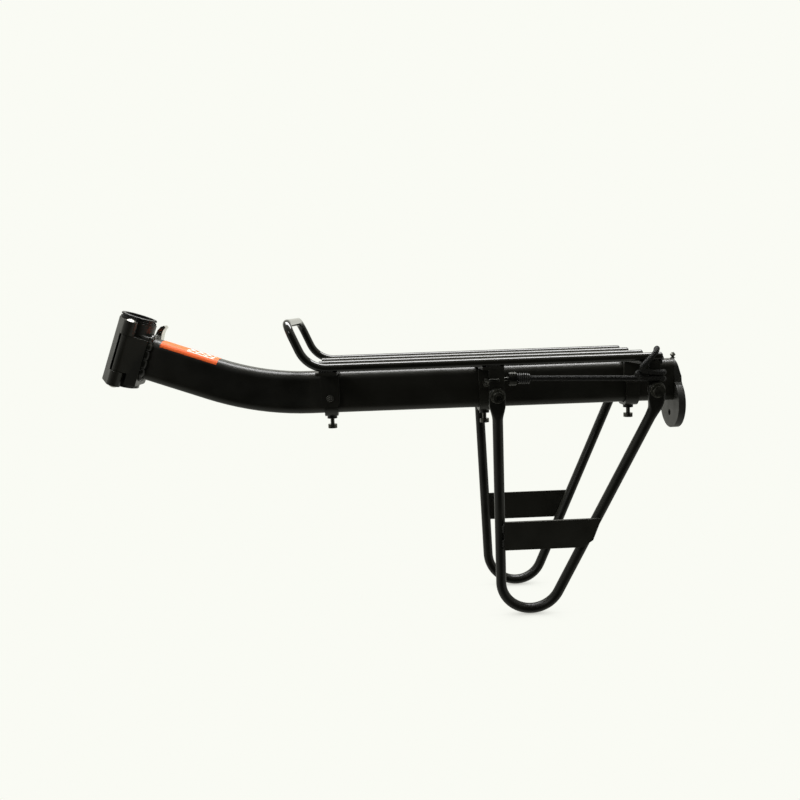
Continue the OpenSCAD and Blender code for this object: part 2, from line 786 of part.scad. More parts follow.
module swept_tube(path, d, sides) {
    rings = frames(path, 0, [0, 0, 1]);
    count = len(rings);
    points = [for (f = rings, k = [0:sides - 1])
        f[0] + (f[1] * cos(k * 360 / sides) + f[2] * sin(k * 360 / sides)) * d / 2];
    walls = [for (i = [0:count - 2], k = [0:sides - 1])
        [i * sides + k, i * sides + (k + 1) % sides,
        (i + 1) * sides + (k + 1) % sides, (i + 1) * sides + k]];
    first = [for (k = [sides - 1:-1:0]) k];
    last = [for (k = [0:sides - 1]) (count - 1) * sides + k];
    polyhedron(points, concat(walls, [first, last]), convexity = 10);
}

module bungee_cord() {
    color([0.05, 0.05, 0.05]) at_level() swept_tube(cord_route, cord_d, cord_sides);
}

// Wire hook round the front edge of the middle ear, with its crimped collar
module bungee_hooks() {
    wire = 3.4;
    hook_r = 4.8;
    color([0.3, 0.3, 0.3]) at_level() both_sides() translate([0, 0, 12]) {
        bar([352, -61.5, 0], [372, -61.5, 0], wire);
        translate([352, -61.5 - hook_r, 0]) rotate([0, 0, 90])
            rotate_extrude(angle = 180) translate([hook_r, 0]) circle(d = wire);
        bar([352, -61.5 - 2 * hook_r, 0], [358, -61.5 - 2 * hook_r, 0], wire);
        translate([358, -61.5 - 2 * hook_r, 0]) sphere(d = wire);
        translate([369, -61.5, 0]) rotate([0, 90, 0]) cylinder(h = 7, r = 6.2);
    }
}

module bungee_sleeves() {
    color([0.08, 0.08, 0.08]) at_level() both_sides() translate([376.1, -61.5, 12])
        rotate([0, 91.2, 0]) difference() {
            union() {
                cylinder(h = 13, r = 4.6);
                for (i = [0:4]) translate([0, 0, i * 2.7]) cylinder(h = 1.7, r = 5.6);
            }
            translate([0, 0, 1]) cylinder(h = 20, d = cord_d + 0.3);
        }
}

// ---------- rear bracket ----------

module rear_bracket() {
    shoulder = beam_w / 2;
    color([0.05, 0.05, 0.05]) at_level() difference() {
        union() {
            along_x(beam_end, beam_end + bracket_t) {
                beam_section(0);
                translate([0, tab_z]) circle(tab_r, $fn = 96);
                polygon([[-shoulder, 6], [shoulder, 6], [shoulder + 1.4, -2],
                    [tab_r * cos(25), tab_z + tab_r * sin(25)],
                    [-tab_r * cos(25), tab_z + tab_r * sin(25)], [-shoulder - 1.4, -2]]);
            }
            along_x(beam_end - 14, beam_end + eps)
                rounded(beam_w - 2 * beam_wall - 0.4, beam_h - 2 * beam_wall - 0.4,
                beam_corner - beam_wall - 0.2);
        }
        translate([0, 0, reflector_z]) rotate([0, 90, 0])
            cylinder(h = far * 4, r = reflector_r, center = true);
        translate([beam_end + bracket_t, -50, 4]) rotate([0, -17, 0]) cube([20, 100, 40]);
        translate([beam_end + 3, 0, 8]) cylinder(h = 40, r = 1.55);
        translate([beam_end - 20, 0, 0]) rotate([0, 90, 0]) cylinder(h = 16, r = 8);
    }
}

module bracket_screw() {
    top = beam_h / 2;
    color([0.2, 0.2, 0.2]) at_level() translate([beam_end + 3, 0, 0]) {
        translate([0, 0, 9]) cylinder(h = top - 9 + 4, r = 1.5);
        translate([0, 0, top]) cylinder(h = 0.8, r = 2.6);
        translate([0, 0, top + 2.4]) cylinder(h = 1.4, r1 = 2, r2 = 2.8);
        translate([0, 0, top + 3.8]) cylinder(h = 2.4, r1 = 2.8, r2 = 1.1);
    }
}

main_beam();
clamp_rear_half();
clamp_welds();
clamp_front_half();
hinge_pin();
seatpost_shim();
release_bolt();
bolt_washer();
adjusting_nut();
cam_seat();
release_lever();
lever_pin();
label_sticker();
outer_hoop_tube();
inner_rods();
rod_end_plugs();
front_saddle();
middle_saddle();
rear_saddle();
platform_welds();
clamp_strap(front_x);  // front_clamp_strap
clamp_strap(middle_x);  // middle_clamp_strap
clamp_strap(rear_x);  // rear_clamp_strap
strap_rivets();
clamp_screws();
side_frame_right();
side_frame_left();
side_plate_right();
side_plate_left();
side_plate_welds();
front_eye_bolts();
rear_eye_bolts();
eye_washers();
eye_nuts();
bungee_cord();
bungee_hooks();
bungee_sleeves();
rear_bracket();
bracket_screw();
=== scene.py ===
"""Looks of the seatpost-mounted rear rack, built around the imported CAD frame."""
import json
import math
import random

import bmesh
import bpy
from mathutils import Matrix, Vector


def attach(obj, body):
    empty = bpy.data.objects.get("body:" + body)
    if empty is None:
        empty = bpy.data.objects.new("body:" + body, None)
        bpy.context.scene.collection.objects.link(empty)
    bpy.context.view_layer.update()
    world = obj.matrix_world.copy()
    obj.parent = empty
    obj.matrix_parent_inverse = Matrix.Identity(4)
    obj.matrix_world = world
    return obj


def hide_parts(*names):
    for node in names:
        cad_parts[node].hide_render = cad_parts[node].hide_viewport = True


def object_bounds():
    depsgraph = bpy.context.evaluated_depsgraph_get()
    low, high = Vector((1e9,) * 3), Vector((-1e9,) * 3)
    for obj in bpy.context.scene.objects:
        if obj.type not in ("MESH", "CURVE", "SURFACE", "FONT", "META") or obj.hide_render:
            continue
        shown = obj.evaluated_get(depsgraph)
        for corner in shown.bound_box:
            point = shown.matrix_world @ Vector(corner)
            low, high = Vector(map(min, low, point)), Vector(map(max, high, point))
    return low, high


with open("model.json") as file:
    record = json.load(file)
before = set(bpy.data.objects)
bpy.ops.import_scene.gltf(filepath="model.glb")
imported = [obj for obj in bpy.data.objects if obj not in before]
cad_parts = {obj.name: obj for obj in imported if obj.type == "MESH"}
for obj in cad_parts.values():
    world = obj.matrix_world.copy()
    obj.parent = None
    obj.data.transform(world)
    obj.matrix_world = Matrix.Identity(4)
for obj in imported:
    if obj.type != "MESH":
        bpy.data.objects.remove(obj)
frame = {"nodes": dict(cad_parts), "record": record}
CAD_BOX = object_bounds()
NODES = frame["nodes"]
MM = 0.001


# ---------- where things are ----------

# The beam slopes down from the clamp, bends once and goes on level; lengths are in mm.
SLOPE = math.radians(20)
SLOPED_RUN, BEND_R = 88, 280
# Height of the level beam's centre line, in metres
LEVEL = -(SLOPED_RUN * math.sin(SLOPE) + BEND_R * (1 - math.cos(SLOPE))) * MM
BODY_OF = {node: body for body, members in frame["record"]["behaviour"]["bodies"].items()
           for node in members}
SLOT_OF = {part["node"]: part["material_slot"] for part in frame["record"]["subparts"]}
# The platform's rods lie on the cross strips of three saddles.
OUTER_Y, INNER_Y = 65, 22
SADDLES = (199, 354, 502)
CROSS_TOP = 24.4
# The side frames lean inwards about the line through their eyes.
FRAME_LEAN = math.radians(7)
EYE_Y, EYE_Z = 66, -2.3
TENT_COLOUR = (0.955, 0.965, 0.905)


def at_level(x, y, z):
    """Point given in mm from the seatpost's axis, and up from the level beam's centre line."""
    return Vector((x * MM, y * MM, LEVEL + z * MM))


def in_clamp(u, y, a):
    """Point given in mm along the sloped beam, sideways, and up the clamp's axis."""
    return Vector(((u * math.cos(SLOPE) + a * math.sin(SLOPE)) * MM, y * MM,
                   (a * math.cos(SLOPE) - u * math.sin(SLOPE)) * MM))


def in_side_plane(x, y, z, side):
    """Point in mm from the eyes' line in a side frame's leaning plane; side is -1 for right."""
    out = y * math.cos(FRAME_LEAN) - z * math.sin(FRAME_LEAN) - EYE_Y
    up = y * math.sin(FRAME_LEAN) + z * math.cos(FRAME_LEAN) + EYE_Z
    return at_level(x, -side * out, up)


# ---------- camera, light and floor ----------

def make_camera():
    """Camera at the photograph's angle: a little left of the middle, looking slightly down."""
    yaw, pitch, roll = math.radians(-1.54), math.radians(6.84), math.radians(1.96)
    right = Vector((math.cos(yaw), math.sin(yaw), 0))
    forward = Vector((-math.sin(yaw) * math.cos(pitch), math.cos(yaw) * math.cos(pitch),
                      -math.sin(pitch)))
    up = right.cross(forward)
    turned_right = right * math.cos(roll) - up * math.sin(roll)
    turned_up = up * math.cos(roll) + right * math.sin(roll)
    data = bpy.data.cameras.new("camera")
    data.sensor_width = 36
    data.lens = 35.1
    data.clip_start = 0.01
    data.clip_end = 100
    camera = bpy.data.objects.new("camera", data)
    bpy.context.scene.collection.objects.link(camera)
    place = at_level(247.1, -786.8, 82.9)
    rotation = Matrix((turned_right, turned_up, -forward)).transposed()
    camera.matrix_world = Matrix.Translation(place) @ rotation.to_4x4()
    bpy.context.scene.camera = camera


def new_nodes(tree):
    """Empties a node tree and returns its nodes and links."""
    tree.nodes.clear()
    return tree.nodes, tree.links


def smooth_step(nodes, links, value, low, high, top):
    """Rises smoothly from 0 to top as the value goes from low to high."""
    node = nodes.new("ShaderNodeMapRange")
    node.interpolation_type = "SMOOTHSTEP"
    node.inputs["From Min"].default_value = low
    node.inputs["From Max"].default_value = high
    node.inputs["To Min"].default_value = 0
    node.inputs["To Max"].default_value = top
    links.new(value, node.inputs["Value"])
    return node.outputs[0]


def make_world():
    """Light tent: pale all round and brightest behind, with a dark opening for the camera."""
    world = bpy.data.worlds.new("studio")
    bpy.context.scene.world = world
    world.use_nodes = True
    nodes, links = new_nodes(world.node_tree)
    out = nodes.new("ShaderNodeOutputWorld")
    seen = nodes.new("ShaderNodeBackground")
    seen.inputs["Color"].default_value = (*TENT_COLOUR, 1)
    room = nodes.new("ShaderNodeBackground")
    room.inputs["Color"].default_value = (1, 1, 0.9, 1)
    mix = nodes.new("ShaderNodeMixShader")
    path = nodes.new("ShaderNodeLightPath")
    coords = nodes.new("ShaderNodeTexCoord")
    split = nodes.new("ShaderNodeSeparateXYZ")
    links.new(coords.outputs["Generated"], split.inputs[0])
    tent = smooth_step(nodes, links, split.outputs["Y"], -0.85, -0.3, 0.36)
    wall = smooth_step(nodes, links, split.outputs["Y"], 0.55, 0.95, 0.45)
    total = math_node(nodes, links, "ADD", math_node(nodes, links, "ADD", tent, wall), 0.02)
    links.new(total, room.inputs["Strength"])
    links.new(path.outputs["Is Camera Ray"], mix.inputs["Fac"])
    links.new(room.outputs[0], mix.inputs[1])
    links.new(seen.outputs[0], mix.inputs[2])
    links.new(mix.outputs[0], out.inputs["Surface"])


def make_floor():
    """Plain pale floor under the side frames' feet, with a painted contact shadow near the rack."""
    low, high = CAD_BOX
    bpy.ops.mesh.primitive_plane_add(size=40, location=(0.27, 0, low[2] - 0.0005))
    floor = bpy.context.object
    floor.name = "floor"
    material = bpy.data.materials.new("floor")
    material.use_nodes = True
    nodes, links = new_nodes(material.node_tree)
    out = nodes.new("ShaderNodeOutputMaterial")
    glow = nodes.new("ShaderNodeEmission")
    shade = nodes.new("ShaderNodeAmbientOcclusion")
    shade.inputs["Distance"].default_value = 0.035
    shade.samples = 8
    # Painted shadow: ambient occlusion darkens the glowing floor near the rack to stand in for a
    # contact shadow.
    links.new(ramp(nodes, links, shade.outputs["AO"],
                   [(0.0, (0.45, 0.45, 0.42)), (0.8, TENT_COLOUR)]),
              glow.inputs["Color"])
    links.new(glow.outputs[0], out.inputs["Surface"])
    floor.data.materials.append(material)
    floor.visible_glossy = False
    floor.visible_diffuse = False


def area_light(name, place, aim, size, power):
    """Rectangular lamp that points at aim; size is width and height in metres, power in watts."""
    data = bpy.data.lights.new(name, "AREA")
    data.shape = "RECTANGLE"
    data.size, data.size_y = size
    data.energy = power
    light = bpy.data.objects.new(name, data)
    bpy.context.scene.collection.objects.link(light)
    light.location = place
    light.rotation_euler = (Vector(aim) - Vector(place)).to_track_quat("-Z", "Y").to_euler()


def make_lights():
    """A long box above the rack, which draws the lines on the rods, and a weak lamp in front."""
    area_light("top_box", (0.3, 0.3, 1.2), (0.27, 0, LEVEL), (1.5, 0.6), 36)
    area_light("front_fill", (-0.7, -1.5, 0.9), (0.25, 0, LEVEL), (0.5, 0.4), 3)


# ---------- materials ----------

def start_material(name):
    """New material with a Principled shader on its output."""
    material = bpy.data.materials.new(name)
    material.use_nodes = True
    nodes, links = new_nodes(material.node_tree)
    out = nodes.new("ShaderNodeOutputMaterial")
    shader = nodes.new("ShaderNodeBsdfPrincipled")
    links.new(shader.outputs[0], out.inputs["Surface"])
    return material, nodes, links, shader


def object_noise(nodes, links, scale, detail=3, stretch=None):
    """Noise in object space; scale is in features per metre."""
    coords = nodes.new("ShaderNodeTexCoord")
    noise = nodes.new("ShaderNodeTexNoise")
    noise.inputs["Scale"].default_value = scale
    noise.inputs["Detail"].default_value = detail
    source = coords.outputs["Object"]
    if stretch:
        mapping = nodes.new("ShaderNodeMapping")
        mapping.inputs["Scale"].default_value = stretch
        links.new(source, mapping.inputs["Vector"])
        source = mapping.outputs[0]
    links.new(source, noise.inputs["Vector"])
    return noise.outputs["Fac"]


def ramp(nodes, links, fac, stops):
    """Colour ramp through (position, colour) stops."""
    node = nodes.new("ShaderNodeValToRGB")
    elements = node.color_ramp.elements
    while len(elements) < len(stops):
        elements.new(0.5)
    for element, (position, colour) in zip(elements, stops):
        element.position = position
        element.color = colour if len(colour) == 4 else (*colour, 1)
    links.new(fac, node.inputs["Fac"])
    return node.outputs["Color"]


def spread_value(nodes, links, fac, low, high):
    """Spreads a noise over the range from low to high."""
    node = nodes.new("ShaderNodeMapRange")
    node.inputs["From Min"].default_value = 0.3
    node.inputs["From Max"].default_value = 0.7
    node.inputs["To Min"].default_value = low
    node.inputs["To Max"].default_value = high
    links.new(fac, node.inputs["Value"])
    return node.outputs[0]


def bump(nodes, links, shader, height, strength, distance, soften=0.0):
    """Relief from a height, with edges rounded by the soften radius in metres."""
    node = nodes.new("ShaderNodeBump")
    node.inputs["Strength"].default_value = strength
    node.inputs["Distance"].default_value = distance
    links.new(height, node.inputs["Height"])
    if soften:
        edge = nodes.new("ShaderNodeBevel")
        edge.samples = 4
        edge.inputs["Radius"].default_value = soften
        links.new(edge.outputs[0], node.inputs["Normal"])
    links.new(node.outputs[0], shader.inputs["Normal"])


def paint(name, rough, peel, soften=0.0005, coat=0.0):
    """Black paint with orange peel, faint dust and rubbed edges."""
    material, nodes, links, shader = start_material(name)
    shader.inputs["Coat Weight"].default_value = coat
    shader.inputs["Coat Roughness"].default_value = 0.05
    cloud = object_noise(nodes, links, 45, 4)
    base = ramp(nodes, links, cloud, [(0.3, (0.010, 0.010, 0.0075)), (0.7, (0.017, 0.017, 0.013))])
    specks = ramp(nodes, links, object_noise(nodes, links, 1100, 2),
                  [(0.70, (0, 0, 0)), (0.78, (1, 1, 1))])
    corner = nodes.new("ShaderNodeNewGeometry")
    edge = ramp(nodes, links, corner.outputs["Pointiness"],
                [(0.56, (0, 0, 0)), (0.62, (0.35, 0.35, 0.35))])
    rubbed = nodes.new("ShaderNodeMix")
    rubbed.data_type = "RGBA"
    links.new(edge, rubbed.inputs["Factor"])
    links.new(base, rubbed.inputs["A"])
    rubbed.inputs["B"].default_value = (0.045, 0.043, 0.034, 1)
    dusted = nodes.new("ShaderNodeMix")
    dusted.data_type = "RGBA"
    links.new(math_node(nodes, links, "MULTIPLY", specks, 0.012), dusted.inputs["Factor"])
    links.new(rubbed.outputs["Result"], dusted.inputs["A"])
    dusted.inputs["B"].default_value = (1, 1, 0.9, 1)
    links.new(dusted.outputs["Result"], shader.inputs["Base Color"])
    links.new(spread_value(nodes, links, cloud, *rough), shader.inputs["Roughness"])
    bump(nodes, links, shader, object_noise(nodes, links, 520, 2), peel, 0.0004, soften)
    return material


def steel(name, colour, rough, stretch=(1, 1, 1), soften=0.0003):
    """Metal with fine turning marks and a little staining."""
    material, nodes, links, shader = start_material(name)
    shader.inputs["Metallic"].default_value = 1
    stain = object_noise(nodes, links, 180, 5)
    dark = tuple(c * 0.6 for c in colour)
    links.new(ramp(nodes, links, stain, [(0.35, dark), (0.6, colour)]), shader.inputs["Base Color"])
    links.new(spread_value(nodes, links, stain, rough * 0.8, rough * 1.3),
              shader.inputs["Roughness"])
    bump(nodes, links, shader, object_noise(nodes, links, 2200, 2, stretch), 0.08, 0.0002, soften)
    return material


def plastic(name, colour, rough, soften=0.0004):
    """Moulded plastic with a fine texture."""
    material, nodes, links, shader = start_material(name)
    cloud = object_noise(nodes, links, 90, 4)
    lighter = tuple(min(1, c * 1.6 + 0.004) for c in colour)
    links.new(ramp(nodes, links, cloud, [(0.3, colour), (0.75, lighter)]),
              shader.inputs["Base Color"])
    links.new(spread_value(nodes, links, cloud, rough - 0.06, rough + 0.08),
              shader.inputs["Roughness"])
    bump(nodes, links, shader, object_noise(nodes, links, 3200, 2), 0.12, 0.0002, soften)
    return material


def math_node(nodes, links, operation, *inputs):
    """Math node; each input is a number or another node's output."""
    node = nodes.new("ShaderNodeMath")
    node.operation = operation
    for socket, value in zip(node.inputs, inputs):
        if isinstance(value, (int, float)):
            socket.default_value = value
        else:
            links.new(value, socket)
    return node.outputs[0]


def cord_material():
    """Woven black cover: two sets of strands that cross, with pale flecks."""
    material, nodes, links, shader = start_material("cord_cover")
    uv = nodes.new("ShaderNodeUVMap")
    split = nodes.new("ShaderNodeSeparateXYZ")
    links.new(uv.outputs[0], split.inputs[0])
    turn = math_node(nodes, links, "MULTIPLY", split.outputs["X"], 2 * math.pi * 5)
    run = math_node(nodes, links, "MULTIPLY", split.outputs["Y"], 2 * math.pi * 480)
    one = math_node(nodes, links, "SINE", math_node(nodes, links, "ADD", turn, run))
    two = math_node(nodes, links, "SINE", math_node(nodes, links, "SUBTRACT", turn, run))
    weave = math_node(nodes, links, "MAXIMUM", one, two)
    fleck = object_noise(nodes, links, 900, 3)
    strands = math_node(nodes, links, "MULTIPLY_ADD", weave, 0.5, 0.5)
    both = math_node(nodes, links, "MULTIPLY", strands, fleck)
    links.new(ramp(nodes, links, both, [(0.1, (0.003, 0.003, 0.003)), (0.45, (0.011, 0.011, 0.010)),
                                        (0.68, (0.05, 0.05, 0.047))]),
              shader.inputs["Base Color"])
    shader.inputs["Roughness"].default_value = 0.7
    shader.inputs["Specular IOR Level"].default_value = 0.3
    bump(nodes, links, shader, weave, 0.5, 0.0003)
    return material


def label_material():
    """Orange printed film with plain pale chevrons between two rules."""
    material, nodes, links, shader = start_material("label_film")
    coords = nodes.new("ShaderNodeTexCoord")
    split = nodes.new("ShaderNodeSeparateXYZ")
    links.new(coords.outputs["Object"], split.inputs[0])
    along = nodes.new("ShaderNodeVectorMath")
    along.operation = "DOT_PRODUCT"
    links.new(coords.outputs["Object"], along.inputs[0])
    along.inputs[1].default_value = (math.cos(SLOPE), 0, -math.sin(SLOPE))
    u, y = along.outputs["Value"], split.outputs["Y"]
    off = math_node(nodes, links, "ABSOLUTE", math_node(nodes, links, "ADD", y, 0.0015))
    slant = math_node(nodes, links, "MULTIPLY_ADD", u, 125,
                      math_node(nodes, links, "MULTIPLY", off, 110))
    chevron = math_node(nodes, links, "GREATER_THAN", math_node(nodes, links, "FRACT", slant), 0.62)
    inside = math_node(nodes, links, "LESS_THAN", off, 0.0065)
    window = math_node(nodes, links, "MULTIPLY", math_node(nodes, links, "GREATER_THAN", u, 0.056),
                       math_node(nodes, links, "LESS_THAN", u, 0.083))
    rule = math_node(nodes, links, "COMPARE", off, 0.0078, 0.0004)
    marks = math_node(nodes, links, "MAXIMUM",
                      math_node(nodes, links, "MULTIPLY", chevron, inside), rule)
    printed = math_node(nodes, links, "MULTIPLY", marks, window)
    ink = nodes.new("ShaderNodeMix")
    ink.data_type = "RGBA"
    links.new(printed, ink.inputs["Factor"])
    cloud = object_noise(nodes, links, 60, 3)
    links.new(ramp(nodes, links, cloud, [(0.3, (0.93, 0.13, 0.022)), (0.7, (1.0, 0.16, 0.03))]),
              ink.inputs["A"])
    ink.inputs["B"].default_value = (0.86, 0.84, 0.8, 1)
    links.new(ink.outputs["Result"], shader.inputs["Base Color"])
    shader.inputs["Roughness"].default_value = 0.5
    shader.inputs["Specular IOR Level"].default_value = 0.25
    bump(nodes, links, shader, object_noise(nodes, links, 700, 3), 0.06, 0.0003)
    return material


MATERIALS = {
    "black_paint": paint("black_paint", (0.3, 0.42), 0.04),
    "black_fastener": steel("black_fastener", (0.15, 0.15, 0.13), 0.3),
    "bright_steel": steel("bright_steel", (0.78, 0.77, 0.72), 0.2),
    "black_plastic": plastic("black_plastic", (0.012, 0.012, 0.011), 0.36),
    "bracket_plastic": plastic("bracket_plastic", (0.03, 0.03, 0.027), 0.42),
    "cord_cover": cord_material(),
    "label_film": label_material(),
}


# ---------- mesh tools ----------

CREASE = 40


def new_object(name, verts, faces):
    """Mesh object with its face normals pointing outwards."""
    mesh = bpy.data.meshes.new(name)
    mesh.from_pydata([tuple(v) for v in verts], [], faces)
    mesh.validate()
    bm = bmesh.new()
    bm.from_mesh(mesh)
    bmesh.ops.recalc_face_normals(bm, faces=bm.faces)
    bm.to_mesh(mesh)
    bm.free()
    thing = bpy.data.objects.new(name, mesh)
    bpy.context.scene.collection.objects.link(thing)
    return thing


def shade(mesh, crease=CREASE):
    """Smooth shading, apart from edges that bend more than crease, in degrees."""
    bm = bmesh.new()
    bm.from_mesh(mesh)
    for face in bm.faces:
        face.smooth = True
    for edge in bm.edges:
        bent = len(edge.link_faces) == 2 and edge.calc_face_angle(0) > math.radians(crease)
        edge.smooth = not bent
    bm.to_mesh(mesh)
    bm.free()


def add_piece(name, shape, node, crease=CREASE):
    """Mesh piece from (verts, faces, uvs) that stands for a CAD node and moves with its body."""
    verts, faces, uvs = shape
    piece = new_object(name, verts, faces)
    layer = piece.data.uv_layers.new(name="UVMap")
    for loop in piece.data.loops:
        layer.data[loop.index].uv = uvs[loop.vertex_index]
    shade(piece.data, crease)
    piece.data.materials.append(MATERIALS[SLOT_OF[node]])
    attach(piece, BODY_OF[node])
    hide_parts(node)
    return piece


def merge(parts):
    """Joins several (verts, faces, uvs) into one."""
    verts, faces, uvs = [], [], []
    for part_verts, part_faces, part_uvs in parts:
        start = len(verts)
        verts += part_verts
        faces += [tuple(start + i for i in face) for face in part_faces]
        uvs += part_uvs
    return verts, faces, uvs


def sweep(path, section, normal):
    """Loft along a path. section(i) gives the ring's offsets along the normal and across it."""
    rings, uvs, travelled = [], [], 0.0
    across = Vector(normal)
    for i, point in enumerate(path):
        ahead, behind = path[min(i + 1, len(path) - 1)], path[max(i - 1, 0)]
        along = (ahead - behind).normalized()
        across = (across - along * across.dot(along)).normalized()
        beside = along.cross(across)
        if i:
            travelled += (point - path[i - 1]).length
        ring = [point + across * a + beside * b for a, b in section(i)]
        rings.append(ring)
        uvs += [(k / len(ring), travelled) for k in range(len(ring))]
    count = len(rings[0])
    verts = [v for ring in rings for v in ring]
    faces = [(i * count + k, i * count + (k + 1) % count,
              (i + 1) * count + (k + 1) % count, (i + 1) * count + k)
             for i in range(len(rings) - 1) for k in range(count)]
    faces.append(tuple(reversed(range(count))))
    faces.append(tuple(range((len(rings) - 1) * count, len(rings) * count)))
    return verts, faces, uvs


def circle(radius, sides):
    """Ring of points on a circle."""
    return [(radius * math.cos(2 * math.pi * k / sides), radius * math.sin(2 * math.pi * k / sides))
            for k in range(sides)]


def superellipse(a, b, power, sides=40):
    """Ring of half-sizes a and b that goes from an ellipse (2) to a rounded bar (6)."""
    ring = []
    for k in range(sides):
        t = 2 * math.pi * (k + 0.5) / sides
        c, s = math.cos(t), math.sin(t)
        ring.append((a * math.copysign(abs(c) ** (2 / power), c),
                     b * math.copysign(abs(s) ** (2 / power), s)))
    return ring


def smooth_curve(points, step):
    """Catmull-Rom curve through the points, cut into pieces of about the given step."""
    ends = [points[0] * 2 - points[1]] + points + [points[-1] * 2 - points[-2]]
    path = []
    for i in range(1, len(ends) - 2):
        p0, p1, p2, p3 = ends[i - 1:i + 3]
        parts = max(1, round((p2 - p1).length / step))
        for k in range(parts):
            t = k / parts
            path.append(0.5 * (2 * p1 + (p2 - p0) * t + (2 * p0 - 5 * p1 + 4 * p2 - p3) * t * t
                               + (3 * p1 - p0 - 3 * p2 + p3) * t ** 3))
    path.append(points[-1])
    return path


def ease(t):
    """Goes smoothly from 0 to 1 as t does."""
    t = min(1.0, max(0.0, t))
    return t * t * (3 - 2 * t)


# ---------- side frames ----------

# Leans of the two legs, radii, and depths (named _S) below the eyes, in the frame's own plane
FRONT_LEAN, REAR_LEAN = math.radians(1.2), math.radians(25.4)
FOOT_R, FOOT_S, KNEE_R = 30, 189.5, 25
ROD_R, EYE_R, EYE_HOLE_R = 5, 7.7, 3.1
EYE_HALF_T = 2.5
EYES = (357, 507)
# Depths of the rings round an eye, close together where its outline turns fastest
EYE_STEPS = (-7.69, -7.5, -7.1, -6.4, -5.4, -4.2, -2.8, -1.4, 0, 1.5, 3, 4.5, 6, 7.5, 9)
FOOT_X = EYES[0] + FOOT_S * math.tan(FRONT_LEAN) + FOOT_R / math.cos(FRONT_LEAN)
TOE = (FOOT_X + FOOT_R * math.cos(REAR_LEAN), FOOT_S + FOOT_R * math.sin(REAR_LEAN))
KNEE_S = TOE[1] - (EYES[1] - TOE[0]) / math.tan(REAR_LEAN)


def frame_line():
    """Centre line of a side frame as (x, depth) in mm, from the front eye to the rear eye."""
    line = [(EYES[0], s) for s in EYE_STEPS]
    flattened, plain = range(10, 28), range(32, 188, 6)
    line += [(EYES[0] + s * math.tan(FRONT_LEAN), s) for s in (*flattened, *plain)]
    start, stop = math.pi + FRONT_LEAN, 2 * math.pi - REAR_LEAN
    line += [(FOOT_X + FOOT_R * math.cos(start + (stop - start) * k / 40),
              FOOT_S - FOOT_R * math.sin(start + (stop - start) * k / 40)) for k in range(41)]
    knee_t = KNEE_R * math.tan(REAR_LEAN / 2)
    top = KNEE_S + knee_t * math.cos(REAR_LEAN)
    line += [(TOE[0] + (TOE[1] - s) * math.tan(REAR_LEAN), s)
             for s in (TOE[1] + (top - TOE[1]) * k / 30 for k in range(1, 30))]
    bend = [(EYES[1] - KNEE_R + KNEE_R * math.cos(REAR_LEAN * (1 - k / 12)),
             KNEE_S - knee_t + KNEE_R * math.sin(REAR_LEAN * (1 - k / 12))) for k in range(13)]
    line += bend
    low, high = bend[-1][1], EYE_STEPS[-1]
    line += [(EYES[1], low + (high - low) * k / 4) for k in range(1, 4) if low > high + 0.5]
    line += [(EYES[1], s) for s in reversed(EYE_STEPS)]
    return line


def side_frame(side):
    """Round rod whose two ends are pressed flat into drilled eyes."""
    line = frame_line()
    path = [in_side_plane(x, -EYE_HALF_T, -s, side) for x, s in line]
    outward = in_side_plane(0, -1, 0, side) - in_side_plane(0, 0, 0, side)

    def section(i):
        depth = line[i][1]
        if depth < 0:
            wide = math.sqrt(max(EYE_R ** 2 - depth ** 2, 0.16))
            return superellipse(EYE_HALF_T * MM, wide * MM, 6)
        pressed = 1 - ease((depth - 8) / 16)
        return superellipse((ROD_R - (ROD_R - EYE_HALF_T) * pressed) * MM,
                            (ROD_R + (EYE_R - ROD_R) * pressed) * MM, 2 + 4 * pressed)

    hand = "left" if side > 0 else "right"
    piece = add_piece(f"side_frame_rod_{hand}", sweep(path, section, outward),
                      f"side_frame_{hand}")
    for x in EYES:
        drill(piece, in_side_plane(x, -8, 0, side), in_side_plane(x, 3, 0, side), EYE_HOLE_R * MM)


def drill(piece, start, stop, radius):
    """Cuts a round hole through a piece."""
    verts, faces, _ = sweep([start, stop], lambda i: circle(radius, 48), (1, 0, 0))
    cutter = new_object("drill", verts, faces)
    cut = piece.modifiers.new("hole", "BOOLEAN")
    cut.operation = "DIFFERENCE"
    cut.solver = "EXACT"
    cut.object = cutter
    graph = bpy.context.evaluated_depsgraph_get()
    made = bpy.data.meshes.new_from_object(piece.evaluated_get(graph))
    piece.modifiers.clear()
    piece.data = made
    bpy.data.objects.remove(cutter)
    shade(made)


# ---------- elastic cord ----------

CORD_R = 2.5
# Where the cord starts behind its hook, and its fall per mm from there to the rear ear
CORD_START, CORD_Y, CORD_Z = 378, 61.5, 12
CORD_FALL = 0.021


